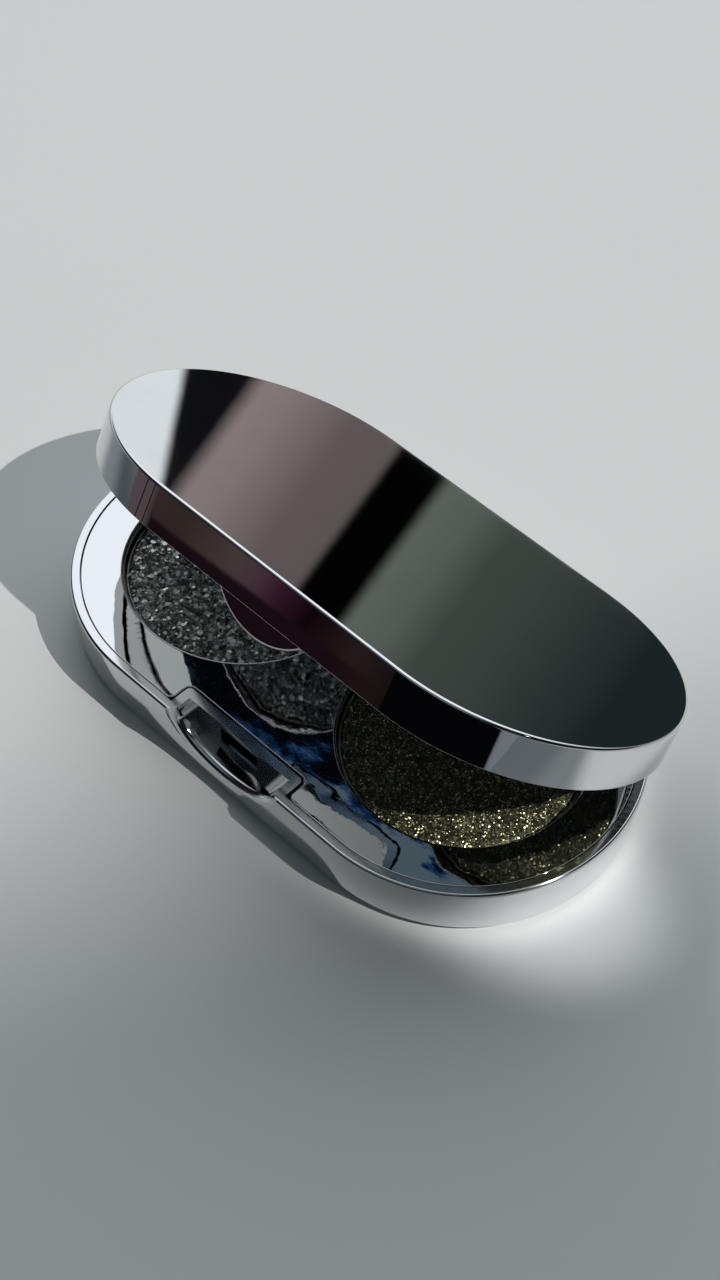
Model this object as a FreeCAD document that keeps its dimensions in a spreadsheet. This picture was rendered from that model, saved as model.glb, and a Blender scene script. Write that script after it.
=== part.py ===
# Pill-shaped chrome compact with a hinged mirror lid and two pans of pressed glitter.
import FreeCAD, Part
import math
import os
import Sketcher
from types import SimpleNamespace
from FreeCAD import Placement, Rotation, Vector

os.makedirs("parts", exist_ok=True)
doc = FreeCAD.newDocument("eyeshadow_palette")

# Driving sizes in millimetres, and the lid's angle in degrees.
SIZES = {
    # Case outline, shared by base and lid
    "case_length": 80.0,
    "case_width": 44.0,
    # Base tub
    "base_wall": 1.0,
    "base_floor": 2.0,
    "foot_round": 2.2,
    "rim_round": 0.4,
    # Deck: groove beside the rim, step down from the rim, plate and edge roundings
    "deck_groove": 0.3,
    "deck_drop": 0.1,
    "deck_plate": 1.2,
    "deck_round": 0.6,
    "deck_corner": 0.9,
    # Wells: places, wall radius and edge rounding
    "well_offset": 18.4,
    "well_radius": 14.95,
    "well_round": 0.5,
    # Cups under the deck, and what stands in them
    "cup_wall": 0.9,
    "cup_floor": 1.1,
    "glue_thickness": 0.2,
    "glue_margin": 0.3,
    "pan_gap": 0.15,
    "pan_wall": 0.35,
    "pan_height": 4.0,
    "powder_gap": 0.03,
    "powder_drop": 0.1,
    "powder_round": 0.2,
    "powder_recess": 1.15,
    # Thumb recess in the front wall, and the latch slot in its back wall
    "thumb_half_width": 8.3,
    "thumb_drop": 4.5,
    "thumb_depth": 3.1,
    "thumb_wall": 1.2,
    "lip_round": 0.35,
    "slot_width": 6.0,
    "slot_height": 2.8,
    "slot_below_rim": 0.8,
    # Hinge: knuckle of the lid's lug, cheeks of the base, pins and relief
    "knuckle_radius": 1.4,
    "hinge_drop": 3.4,
    "lug_width": 14.0,
    "lug_root": 0.4,
    "lug_side_gap": 0.25,
    "lug_gap": 0.3,
    "lug_floor_gap": 0.5,
    "cheek_width": 4.0,
    "cheek_wall": 1.2,
    "pin_radius": 0.6,
    "pin_length": 7.0,
    "pin_in_lug": 3.5,
    "pin_press_gap": 0.02,
    "pin_run_gap": 0.05,
    "relief_depth": 0.45,
    "relief_width": 1.9,
    # Lid shell
    "lid_height": 5.6,
    "lid_top": 1.2,
    "lid_wall": 1.2,
    "lid_round": 0.4,
    "lid_lip_round": 0.2,
    "lid_gap": 0.1,
    "lid_angle": 27.8,
    # Smile-shaped thumb tab under the lid's front wall, and its room in the thumb recess
    "tab_side_gap": 1.7,
    "tab_foot_gap": 1.65,
    "tab_setback": 0.25,
    "tab_root": 0.4,
    "tab_round": 0.3,
    # Liner, tape and mirror inside the lid
    "liner_gap": 0.1,
    "liner_inset": 0.6,
    "liner_frame": 2.4,
    "liner_web": 0.8,
    "mirror_gap": 0.1,
    "mirror_sink": 0.2,
    "mirror_thickness": 1.3,
    "tape_thickness": 0.3,
    "tape_margin": 1.5,
    # Latch hook, and its room in the slot, before the recess wall and in the liner
    "hook_stem": 1.2,
    "hook_nib": 0.9,
    "hook_slot_gap": 0.3,
    "hook_drop": 0.4,
    "hook_gap": 0.25,
    "hook_side_gap": 0.1,
}

SIDES = ("left", "right")
TOUCH = 1e-4


class Size:
    """A size that holds both its value and the sheet formula that gives it."""

    def __init__(self, value, formula):
        self.value = value
        self.formula = formula

    @staticmethod
    def of(thing):
        return thing if isinstance(thing, Size) else Size(thing, repr(thing))

    def __add__(self, other):
        other = Size.of(other)
        return Size(self.value + other.value, f"({self.formula} + {other.formula})")

    def __sub__(self, other):
        other = Size.of(other)
        return Size(self.value - other.value, f"({self.formula} - {other.formula})")

    def __mul__(self, other):
        other = Size.of(other)
        return Size(self.value * other.value, f"({self.formula} * {other.formula})")

    def __truediv__(self, other):
        other = Size.of(other)
        return Size(self.value / other.value, f"({self.formula} / {other.formula})")

    def __neg__(self):
        return Size(-self.value, f"(0 - {self.formula})")

    __rmul__ = __mul__


sheet = doc.addObject("Spreadsheet::Sheet", "Sizes")
for row, (name, value) in enumerate(SIZES.items(), start=1):
    sheet.set(f"A{row}", name)
    sheet.set(f"B{row}", str(value))
    sheet.setAlias(f"B{row}", name)
doc.recompute()
s = SimpleNamespace(**{name: Size(value, f"Sizes.{name}") for name, value in SIZES.items()})

# Heights of the base, from its rest face up
ground = Size(0.0, "0")
well_floor = s.base_floor + s.cup_floor
pan_foot = well_floor + s.glue_thickness
pan_rim = pan_foot + s.pan_height
deck_face = pan_rim + s.powder_recess
base_height = deck_face + s.deck_drop
deck_under = deck_face - s.deck_plate

# Places in plan
half_width = s.case_width / 2
thumb_back = half_width - s.thumb_depth
deck_inset = s.base_wall + s.deck_groove
thumb_block_half = s.thumb_half_width + s.thumb_wall
thumb_block_back = thumb_back - s.thumb_wall

# Hinge axis, and the block of the base that carries it
hinge_y = half_width - s.knuckle_radius
hinge_z = base_height - s.hinge_drop
lug_half = s.lug_width / 2
slot_half = lug_half + s.lug_side_gap
slot_front = hinge_y - s.knuckle_radius - s.lug_gap
cheek_half = slot_half + s.cheek_width
cheek_front = slot_front - s.cheek_wall

# Lid levels, measured up from the hinge axis with the lid closed
lid_foot = s.hinge_drop + s.lid_gap
lid_ceiling = lid_foot + s.lid_height - s.lid_top
tab_half_width = s.thumb_half_width - s.tab_side_gap
tab_drop = s.thumb_drop + s.lid_gap - s.tab_foot_gap
liner_face = lid_foot + s.liner_inset
mirror_face = liner_face + s.mirror_sink
mirror_back = mirror_face + s.mirror_thickness
tape_back = mirror_back + s.tape_thickness
liner_web_back = tape_back + s.liner_web
liner_edge = s.lid_wall + s.liner_gap
mirror_seat = liner_edge + s.liner_frame
hook_half = s.slot_width / 2 - s.hook_slot_gap
hook_foot = s.hinge_drop - s.slot_below_rim - s.hook_drop - s.hook_nib
hook_front = half_width - liner_edge
hook_back = hook_front - s.hook_stem


def new_body(name):
    body = doc.addObject("PartDesign::Body", name)
    body.Label = name
    return body


def sketch_on(body, plane, offset=None):
    """An empty sketch on one of the body's origin planes, moved along the plane's normal."""
    sketch = body.newObject("Sketcher::SketchObject", "Outline")
    support = [part for part in body.Origin.OriginFeatures if part.Role == plane][0]
    sketch.AttachmentSupport = [(support, "")]
    sketch.MapMode = "FlatFace"
    if offset is not None:
        sketch.AttachmentOffset = Placement(Vector(0, 0, offset.value), Rotation())
        sketch.setExpression("AttachmentOffset.Base.z", offset.formula)
    return sketch


def hold(sketch, size, kind, *where):
    """Adds one dimension to a sketch and ties it to its formula."""
    index = sketch.addConstraint(Sketcher.Constraint(kind, *where, size.value))
    sketch.setExpression(f"Constraints[{index}]", size.formula)


def place(sketch, geometry, point, x, y):
    """Holds a sketch point at x and y, where None puts it on the axis."""
    if x is None:
        sketch.addConstraint(Sketcher.Constraint("PointOnObject", geometry, point, -2))
    else:
        hold(sketch, x, "DistanceX", geometry, point)
    if y is None:
        sketch.addConstraint(Sketcher.Constraint("PointOnObject", geometry, point, -1))
    else:
        hold(sketch, y, "DistanceY", geometry, point)


def at(x, y):
    return Vector(x.value if x else 0, y.value if y else 0, 0)


def arc(centre, radius, start, end):
    """A counter-clockwise arc."""
    while end < start:
        end += 2 * math.pi
    return Part.ArcOfCircle(Part.Circle(centre, Vector(0, 0, 1), radius), start, end)


def join(sketch, kind, *pairs):
    """Joins sketch ends, each pair given as (geometry, end, geometry, end)."""
    for pair in pairs:
        sketch.addConstraint(Sketcher.Constraint(kind, *pair))


def draw_circle(sketch, x, y, radius):
    index = sketch.addGeometry(Part.Circle(at(x, y), Vector(0, 0, 1), radius.value))
    place(sketch, index, 3, x, y)
    hold(sketch, radius, "Radius", index)


def draw_box(sketch, left, right, low, high):
    corners = [at(left, low), at(right, low), at(right, high), at(left, high)]
    sides = [sketch.addGeometry(Part.LineSegment(corners[k], corners[(k + 1) % 4])) for k in range(4)]
    join(sketch, "Coincident", *[(sides[k], 2, sides[(k + 1) % 4], 1) for k in range(4)])
    join(sketch, "Horizontal", (sides[0],), (sides[2],))
    join(sketch, "Vertical", (sides[1],), (sides[3],))
    place(sketch, sides[0], 1, left, low)
    place(sketch, sides[2], 1, right, high)


def draw_pill(sketch, length, width, y=None):
    """A pill outline: two straight sides and two half-round ends, along X."""
    radius = width / 2
    reach = length / 2 - radius
    across = Vector(0, radius.value, 0)
    right, left = at(reach, y), at(-reach, y)
    front = sketch.addGeometry(Part.LineSegment(left - across, right - across))
    right_end = sketch.addGeometry(arc(right, radius.value, -math.pi / 2, math.pi / 2))
    back = sketch.addGeometry(Part.LineSegment(right + across, left + across))
    left_end = sketch.addGeometry(arc(left, radius.value, math.pi / 2, 3 * math.pi / 2))
    outline = [front, right_end, back, left_end]
    join(sketch, "Tangent", *[(outline[k], 2, outline[(k + 1) % 4], 1) for k in range(4)])
    place(sketch, right_end, 3, reach, y)
    place(sketch, left_end, 3, -reach, y)
    hold(sketch, radius, "Radius", right_end)
    join(sketch, "Equal", (right_end, left_end))


def draw_well(sketch, side, inset):
    x = s.well_offset if side == "right" else -s.well_offset
    draw_circle(sketch, x, None, s.well_radius - inset)


def draw_thumb_ellipse(sketch):
    """The smile-shaped cut of the thumb recess, hung from the rim."""
    centre = at(None, base_height)
    right = centre + Vector(s.thumb_half_width.value, 0, 0)
    top = centre + Vector(0, s.thumb_drop.value, 0)
    ellipse = sketch.addGeometry(Part.Ellipse(right, top, centre))
    sketch.exposeInternalGeometry(ellipse)
    long_axis, short_axis = ellipse + 1, ellipse + 2
    place(sketch, ellipse, 3, None, base_height)
    join(sketch, "Horizontal", (long_axis,))
    hold(sketch, s.thumb_half_width * 2, "Distance", long_axis)
    hold(sketch, s.thumb_drop * 2, "Distance", short_axis)


def draw_tab(sketch):
    """The thumb tab from the front: a round segment below the lid's foot, rooted a little above it."""
    radius = (tab_half_width * tab_half_width + tab_drop * tab_drop) / (tab_drop * 2)
    middle = lid_foot - tab_drop + radius
    root = lid_foot + s.tab_root
    turn = math.acos((middle - root).value / radius.value)
    lower = arc(at(None, middle), radius.value, -math.pi / 2 - turn, -math.pi / 2 + turn)
    edge = sketch.addGeometry(lower)
    chord = sketch.addGeometry(Part.LineSegment(lower.EndPoint, lower.StartPoint))
    join(sketch, "Coincident", (edge, 2, chord, 1), (chord, 2, edge, 1))
    join(sketch, "Horizontal", (chord,))
    place(sketch, edge, 3, None, middle)
    hold(sketch, radius, "Radius", edge)
    hold(sketch, root, "DistanceY", chord, 1)


def draw_lug(sketch, radius, top):
    """Side view of the lid's lug: round below about the hinge axis, straight above."""
    left, right = Vector(-radius.value, 0, 0), Vector(radius.value, 0, 0)
    rise = Vector(0, top.value, 0)
    bottom = sketch.addGeometry(arc(Vector(), radius.value, math.pi, 2 * math.pi))
    back = sketch.addGeometry(Part.LineSegment(right, right + rise))
    over = sketch.addGeometry(Part.LineSegment(right + rise, left + rise))
    front = sketch.addGeometry(Part.LineSegment(left + rise, left))
    join(sketch, "Coincident", (bottom, 3, -1, 1), (back, 2, over, 1), (over, 2, front, 1))
    join(sketch, "Tangent", (bottom, 2, back, 1), (front, 2, bottom, 1))
    join(sketch, "Vertical", (back,), (front,))
    join(sketch, "Horizontal", (over,))
    hold(sketch, radius, "Radius", bottom)
    hold(sketch, top, "DistanceY", back, 2)


def extrude(kind, body, sketch, length, symmetric=False, reverse=False):
    feature = body.newObject(f"PartDesign::{kind}", kind)
    feature.Profile = sketch
    feature.Reversed = reverse
    if symmetric:
        feature.SideType = "Symmetric"
    if length is None:
        feature.Type = "ThroughAll"
    else:
        feature.Length = length.value
        feature.setExpression("Length", length.formula)
    sketch.Visibility = False
    doc.recompute()
    return feature


def pad(body, sketch, length, **options):
    before = body.Shape.Volume if body.Tip else 0
    extrude("Pad", body, sketch, length, **options)
    if body.Shape.Volume <= before:
        raise RuntimeError(f"{body.Label}: a pad added nothing")


def pocket(body, sketch, length, **options):
    before = body.Shape.Volume
    extrude("Pocket", body, sketch, length, **options)
    if body.Shape.Volume >= before:
        raise RuntimeError(f"{body.Label}: a pocket cut nothing")


def round_edges(body, radius, keep):
    """Rounds the edges of a body that keep accepts."""
    base = body.Tip
    names = [f"Edge{k}" for k, edge in enumerate(base.Shape.Edges, start=1) if keep(edge)]
    if not names:
        raise RuntimeError(f"{body.Label}: no edge to round")
    fillet = body.newObject("PartDesign::Fillet", "Fillet")
    fillet.Base = (base, names)
    fillet.Radius = radius.value
    fillet.setExpression("Radius", radius.formula)
    doc.recompute()


def at_level(edge, level):
    box = edge.BoundBox
    return abs(box.ZMin - level.value) < TOUCH and abs(box.ZMax - level.value) < TOUCH


def middle_of(edge):
    return edge.valueAt((edge.FirstParameter + edge.LastParameter) / 2)


def on_pill(edge, length, width, y=None):
    """Whether an edge's middle lies on a pill outline."""
    point = middle_of(edge)
    radius = width.value / 2
    beyond = max(abs(point.x) - (length.value / 2 - radius), 0)
    return abs(math.hypot(beyond, point.y - (y.value if y else 0)) - radius) < TOUCH


def across(edge, y):
    """Whether an edge lies in the upright plane at y."""
    box = edge.BoundBox
    return abs(box.YMin - y.value) < TOUCH and abs(box.YMax - y.value) < TOUCH


def crosses_middle(edge):
    """Whether an edge runs under the rim from one side of the thumb recess to the other."""
    box = edge.BoundBox
    middle_height = (base_height - s.thumb_drop).value
    return box.XMin < 0 < box.XMax and abs(box.ZMin - middle_height) < TOUCH


def is_ring(edge):
    return len(edge.Vertexes) == 1


def upright(edge):
    ends = [vertex.Point for vertex in edge.Vertexes]
    return len(ends) == 2 and math.hypot(ends[0].x - ends[1].x, ends[0].y - ends[1].y) < TOUCH


def make_base_shell():
    """Tub with a thumb recess and latch slot at the front, and hinge cheeks at the back."""
    body = new_body("base_shell")
    outline = sketch_on(body, "XY_Plane")
    draw_pill(outline, s.case_length, s.case_width)
    pad(body, outline, base_height)
    round_edges(body, s.foot_round, lambda edge: at_level(edge, ground))
    round_edges(body, s.rim_round, lambda edge: at_level(edge, base_height))

    cavity = sketch_on(body, "XY_Plane", base_height)
    draw_pill(cavity, s.case_length - s.base_wall * 2, s.case_width - s.base_wall * 2)
    pocket(body, cavity, base_height - s.base_floor)

    wall_middle = half_width - s.base_wall / 2
    blocks = sketch_on(body, "XY_Plane")
    draw_box(blocks, -thumb_block_half, thumb_block_half, -wall_middle, -thumb_block_back)
    draw_box(blocks, -cheek_half, cheek_half, cheek_front, wall_middle)
    pad(body, blocks, base_height)

    recess = sketch_on(body, "XZ_Plane", thumb_back)
    draw_thumb_ellipse(recess)
    pocket(body, recess, None, reverse=True)

    latch_slot = sketch_on(body, "XZ_Plane", thumb_back)
    slot_top = base_height - s.slot_below_rim
    draw_box(latch_slot, -s.slot_width / 2, s.slot_width / 2, slot_top - s.slot_height, slot_top)
    pocket(body, latch_slot, s.thumb_wall + s.deck_groove)

    lug_slot = sketch_on(body, "XY_Plane", base_height)
    draw_box(lug_slot, -slot_half, slot_half, slot_front, half_width + s.base_wall)
    pocket(body, lug_slot, s.hinge_drop + s.knuckle_radius + s.lug_floor_gap)

    relief = sketch_on(body, "XY_Plane", base_height)
    draw_box(relief, -s.case_length / 2, s.case_length / 2,
             half_width - s.relief_width, half_width + s.base_wall)
    pocket(body, relief, s.relief_depth)

    pin_holes = sketch_on(body, "YZ_Plane")
    draw_circle(pin_holes, hinge_y, hinge_z, s.pin_radius + s.pin_press_gap)
    pocket(body, pin_holes, cheek_half * 2, symmetric=True)

    round_edges(body, s.lip_round, lambda edge: across(edge, -half_width) and crosses_middle(edge))
    return body


def make_deck_tray():
    """Plate with a rounded edge, notched round the thumb recess and hinge, with a cup under each well."""
    body = new_body("deck_tray")
    length, width = s.case_length - deck_inset * 2, s.case_width - deck_inset * 2
    plate = sketch_on(body, "XY_Plane", deck_under)
    draw_pill(plate, length, width)
    pad(body, plate, s.deck_plate)

    notches = sketch_on(body, "XY_Plane", deck_face)
    front_half = thumb_block_half + s.deck_groove
    back_half = cheek_half + s.deck_groove
    draw_box(notches, -front_half, front_half, -half_width, s.deck_groove - thumb_block_back)
    draw_box(notches, -back_half, back_half, cheek_front - s.deck_groove, half_width)
    pocket(body, notches, s.deck_plate)
    round_edges(body, s.deck_corner, upright)
    round_edges(body, s.deck_round, lambda edge: at_level(edge, deck_face))

    cups = sketch_on(body, "XY_Plane", s.base_floor)
    for side in SIDES:
        draw_well(cups, side, -s.cup_wall)
    pad(body, cups, deck_under - s.base_floor)

    wells = sketch_on(body, "XY_Plane", deck_face)
    for side in SIDES:
        draw_well(wells, side, ground)
    pocket(body, wells, deck_face - well_floor)
    round_edges(body, s.well_round, lambda edge: at_level(edge, deck_face) and is_ring(edge))
    return body


def make_pan(side):
    body = new_body(f"{side}_pan")
    outline = sketch_on(body, "XY_Plane", pan_foot)
    draw_well(outline, side, s.pan_gap)
    pad(body, outline, s.pan_height)
    hollow = sketch_on(body, "XY_Plane", pan_rim)
    draw_well(hollow, side, s.pan_gap + s.pan_wall)
    pocket(body, hollow, s.pan_height - s.pan_wall)
    return body


def make_glue(side):
    body = new_body(f"{side}_pan_glue")
    outline = sketch_on(body, "XY_Plane", well_floor)
    draw_well(outline, side, s.pan_gap + s.glue_margin)
    pad(body, outline, s.glue_thickness)
    return body


def make_powder(side):
    body = new_body(f"{side}_powder")
    outline = sketch_on(body, "XY_Plane", pan_foot + s.pan_wall)
    draw_well(outline, side, s.pan_gap + s.pan_wall + s.powder_gap)
    pad(body, outline, s.pan_height - s.pan_wall - s.powder_drop)
    round_edges(body, s.powder_round, lambda edge: at_level(edge, pan_rim - s.powder_drop))
    return body


def make_hinge_pin(side):
    body = new_body(f"hinge_pin_{side}")
    inner = lug_half - s.pin_in_lug
    start = inner if side == "right" else -inner - s.pin_length
    outline = sketch_on(body, "YZ_Plane", start)
    draw_circle(outline, hinge_y, hinge_z, s.pin_radius)
    pad(body, outline, s.pin_length)
    return body


def open_lid(body):
    """Hangs a lid piece, drawn about the hinge axis, on that axis and tilts it open."""
    body.Placement = Placement(Vector(0, hinge_y.value, hinge_z.value),
                               Rotation(Vector(1, 0, 0), -s.lid_angle.value))
    body.setExpression("Placement.Base.y", hinge_y.formula)
    body.setExpression("Placement.Base.z", hinge_z.formula)
    body.setExpression("Placement.Rotation.Angle", (-s.lid_angle).formula)
    doc.recompute()


def make_lid_shell():
    """Flat lid with upright walls, a thumb tab at the front and a lug for the base's back wall."""
    body = new_body("lid_shell")
    outline = sketch_on(body, "XY_Plane", lid_foot)
    draw_pill(outline, s.case_length, s.case_width, -hinge_y)
    pad(body, outline, s.lid_height)

    cavity = sketch_on(body, "XY_Plane", lid_foot)
    draw_pill(cavity, s.case_length - s.lid_wall * 2, s.case_width - s.lid_wall * 2, -hinge_y)
    pocket(body, cavity, s.lid_height - s.lid_top, reverse=True)

    def outer(edge):
        return on_pill(edge, s.case_length, s.case_width, -hinge_y)

    round_edges(body, s.lid_round, lambda edge: at_level(edge, lid_foot + s.lid_height) and outer(edge))
    round_edges(body, s.lid_lip_round, lambda edge: at_level(edge, lid_foot) and outer(edge))

    tab_front = half_width + hinge_y - s.tab_setback
    tab = sketch_on(body, "XZ_Plane", tab_front)
    draw_tab(tab)
    pad(body, tab, s.lid_wall - s.tab_setback, reverse=True)

    def tab_edge(edge):
        return across(edge, -tab_front) and edge.BoundBox.ZMin < lid_foot.value - TOUCH

    round_edges(body, s.tab_round, tab_edge)

    lug = sketch_on(body, "YZ_Plane")
    draw_lug(lug, s.knuckle_radius, lid_foot + s.lug_root)
    pad(body, lug, s.lug_width, symmetric=True)
    pin_hole = sketch_on(body, "YZ_Plane")
    draw_circle(pin_hole, None, None, s.pin_radius + s.pin_run_gap)
    pocket(body, pin_hole, s.lug_width, symmetric=True)
    open_lid(body)
    return body


def lid_pill(body, level, inset):
    sketch = sketch_on(body, "XY_Plane", level)
    draw_pill(sketch, s.case_length - inset * 2, s.case_width - inset * 2, -hinge_y)
    return sketch


def make_lid_liner():
    """Frame inside the lid, recessed below for the mirror and hollow above, notched for the hook."""
    body = new_body("lid_liner")
    pad(body, lid_pill(body, liner_face, liner_edge), lid_ceiling - liner_face)
    pocket(body, lid_pill(body, liner_face, mirror_seat), tape_back - liner_face, reverse=True)
    pocket(body, lid_pill(body, lid_ceiling, mirror_seat), lid_ceiling - liner_web_back)
    notch = sketch_on(body, "XY_Plane", liner_face)
    notch_half = hook_half + s.hook_side_gap
    draw_box(notch, -notch_half, notch_half, -half_width - hinge_y, s.hook_side_gap - hook_back - hinge_y)
    pocket(body, notch, lid_ceiling - liner_face, reverse=True)
    open_lid(body)
    return body


def make_mirror_tape():
    body = new_body("mirror_tape")
    pad(body, lid_pill(body, mirror_back, mirror_seat + s.tape_margin), s.tape_thickness)
    open_lid(body)
    return body


def make_mirror():
    body = new_body("mirror")
    pad(body, lid_pill(body, mirror_face, mirror_seat + s.mirror_gap), s.mirror_thickness)
    open_lid(body)
    return body


def make_latch_hook():
    """Upright stem behind the lid's front wall, with a nib that points at the latch slot."""
    body = new_body("latch_hook")
    stem = sketch_on(body, "XY_Plane", hook_foot)
    draw_box(stem, -hook_half, hook_half, -hook_front - hinge_y, -hook_back - hinge_y)
    pad(body, stem, lid_ceiling - hook_foot)
    nib = sketch_on(body, "XY_Plane", hook_foot)
    draw_box(nib, -hook_half, hook_half, -hook_front - hinge_y, -thumb_back - s.hook_gap - hinge_y)
    pad(body, nib, s.hook_nib)
    open_lid(body)
    return body


parts = [make_base_shell(), make_deck_tray()]
for side in SIDES:
    parts += [make_pan(side), make_glue(side), make_powder(side), make_hinge_pin(side)]
parts += [make_lid_shell(), make_lid_liner(), make_mirror_tape(), make_mirror(), make_latch_hook()]

doc.recompute()
for item in doc.Objects:
    if "Invalid" in item.State or "Error" in item.State:
        raise RuntimeError(f"{item.Label} failed: {item.State}")
for part in parts:
    if part.Shape.isNull() or not part.Shape.isValid():
        raise RuntimeError(f"{part.Label} has no valid shape")
for part in parts:
    part.Shape.exportStep(f"parts/{part.Label}.step")
    print(part.Label, len(part.Shape.Solids), round(part.Shape.Volume, 2))
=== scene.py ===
import math
import random

import bpy
from mathutils import Euler, Matrix, Vector, noise


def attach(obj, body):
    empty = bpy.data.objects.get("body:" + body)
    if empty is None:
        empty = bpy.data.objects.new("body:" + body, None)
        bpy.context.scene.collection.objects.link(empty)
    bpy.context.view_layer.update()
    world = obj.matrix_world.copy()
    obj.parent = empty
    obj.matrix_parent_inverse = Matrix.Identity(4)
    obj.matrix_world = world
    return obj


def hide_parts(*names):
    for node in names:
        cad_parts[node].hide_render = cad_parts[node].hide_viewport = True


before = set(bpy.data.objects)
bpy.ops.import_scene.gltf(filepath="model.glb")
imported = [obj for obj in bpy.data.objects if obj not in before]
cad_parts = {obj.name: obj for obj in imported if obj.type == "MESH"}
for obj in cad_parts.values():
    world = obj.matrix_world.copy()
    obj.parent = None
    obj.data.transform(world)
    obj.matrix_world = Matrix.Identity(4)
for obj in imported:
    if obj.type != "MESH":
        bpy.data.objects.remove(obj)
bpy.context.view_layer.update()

# All sizes below are in millimetres, and the lid's are for the closed lid.
MM = 0.001
CASE_LENGTH, CASE_WIDTH = 80.0, 44.0
BASE_HEIGHT, BASE_FLOOR, BASE_WALL = 8.55, 2.0, 1.25
RIM_ROUND, FOOT_ROUND, FOOT_INSET, LIP_ROUND = 0.42, 1.4, 0.6, 0.95
DECK_FACE, DECK_UNDER, DECK_INSET = 8.45, 7.25, 1.35
DECK_ROUND, DECK_CORNER = 0.16, 0.9
WELL_X, WELL_RADIUS, WELL_ROUND, WELL_FLOOR = 18.4, 14.95, 0.5, 3.1
CUP_WALL, CUP_ROOT = 0.9, 0.4
PAN_RADIUS, PAN_WALL, PAN_FOOT, PAN_RIM, PAN_ROLL = 14.8, 0.35, 3.3, 7.3, 0.12
CAKE_RADIUS, CAKE_FOOT, CAKE_TOP = 14.42, 3.65, 7.2
CAKE_SHOULDER, CAKE_EDGE, CAKE_BROKEN = 0.3, 0.25, 0.5
FLAKE_MARGIN, FLAKE_RIM, FLAKE_LIFT, FLAKE_CLUMP = 0.1, 0.15, 0.02, 2.5
THUMB_HALF, THUMB_DROP, THUMB_BACK, THUMB_WALL, THUMB_CORNER = 8.3, 4.5, 18.9, 1.2, 0.6
SLOT_HALF, SLOT_LOW, SLOT_HIGH = 3.0, 4.95, 7.75
HINGE_Y, HINGE_Z = 20.6, 5.15
LUG_HALF, LUG_RADIUS, LUG_ROOT = 7.0, 1.4, 9.05
LUG_SLOT_HALF, LUG_SLOT_FRONT, LUG_SLOT_FLOOR = 7.25, 18.9, 3.25
CHEEK_HALF, CHEEK_FRONT = 11.25, 17.7
RELIEF_FRONT, RELIEF_FLOOR = 20.1, 8.1
GROOVE = 0.3
LID_FOOT, LID_TOP, LID_CEILING, LID_WALL = 8.65, 14.25, 13.05, 1.2
LID_ROUND, LID_LIP = 0.4, 0.06
LID_ANGLE = math.radians(27.8)
TAB_HALF, TAB_DROP, TAB_ROOT, TAB_SETBACK, TAB_ROUND = 6.6, 2.95, 0.4, 0.25, 0.3
LINER_FACE, LINER_INSET, LINER_FRAME, LINER_SEAT, LINER_ROUND = 9.25, 1.3, 2.4, 11.05, 0.2
MIRROR_FACE, MIRROR_BACK, MIRROR_INSET, MIRROR_EDGE = 9.45, 10.75, 3.8, 0.3
HOOK_HALF, HOOK_FOOT, HOOK_FRONT, HOOK_BACK, HOOK_GAP = 2.7, 6.45, 20.7, 19.5, 0.1
NIB_BACK, NIB_HEIGHT, NIB_SETBACK, NIB_ROUND = 19.15, 0.9, 0.4, 0.12
# How far a cutter reaches past what it cuts, how near two places count as one, and how near they are joined
OVER, SLACK, JOIN = 2.0, 0.01, 0.0005

# Steps round a shape, then the steps of a bevel, from a broad round edge down to a chamfer
CORNER_STEPS, RING_STEPS, TAB_STEPS, CAKE_STEPS, FLAKE_STEPS = 40, 160, 240, 96, 6
BROAD, ROUNDED, CORNER, EASED, CHAMFER = 8, 6, 5, 3, 2

# The side of a well or its pan, along the case
LEFT, RIGHT = -1, 1


def rest():
    """Leaves every mesh in object mode, with nothing selected."""
    if bpy.context.mode != "OBJECT":
        bpy.ops.object.mode_set(mode="OBJECT")
    bpy.ops.object.select_all(action="DESELECT")


def take(piece):
    rest()
    piece.select_set(True)
    bpy.context.view_layer.objects.active = piece


def settle(piece):
    """Moves a piece's place and turn into its mesh."""
    take(piece)
    bpy.ops.object.transform_apply(location=True, rotation=True, scale=True)
    return piece


def pick(piece, kind, test):
    """Opens a mesh with only those parts selected whose corners, in millimetres, pass the test."""
    take(piece)
    bpy.ops.object.mode_set(mode="EDIT")
    bpy.ops.mesh.select_mode(type=kind)
    bpy.ops.mesh.select_all(action="DESELECT")
    bpy.ops.object.mode_set(mode="OBJECT")
    mesh = piece.data
    spots = [vertex.co / MM for vertex in mesh.vertices]
    for part in mesh.edges if kind == "EDGE" else mesh.polygons:
        part.select = test([spots[corner] for corner in part.vertices])
    bpy.ops.object.mode_set(mode="EDIT")


def pick_all(piece):
    take(piece)
    bpy.ops.object.mode_set(mode="EDIT")
    bpy.ops.mesh.select_all(action="SELECT")


def level(height):
    return lambda spots: all(abs(spot.z - height) < SLACK for spot in spots)


def upright(spots):
    return (spots[0] - spots[1]).xy.length < SLACK


def block(name, low, high):
    rest()
    low, high = Vector(low), Vector(high)
    bpy.ops.mesh.primitive_cube_add(size=1, location=(low + high) / 2 * MM, scale=(high - low) * MM)
    piece = bpy.context.active_object
    piece.name = name
    return settle(piece)


def bevel(piece, width, steps, test):
    pick(piece, "EDGE", test)
    bpy.ops.mesh.bevel(offset=width * MM, segments=steps, profile=0.5, affect="EDGES", clamp_overlap=False)
    bpy.ops.object.mode_set(mode="OBJECT")


def merge(piece):
    pick_all(piece)
    bpy.ops.mesh.remove_doubles(threshold=JOIN * MM)
    bpy.ops.mesh.normals_make_consistent(inside=False)
    bpy.ops.object.mode_set(mode="OBJECT")


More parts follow.
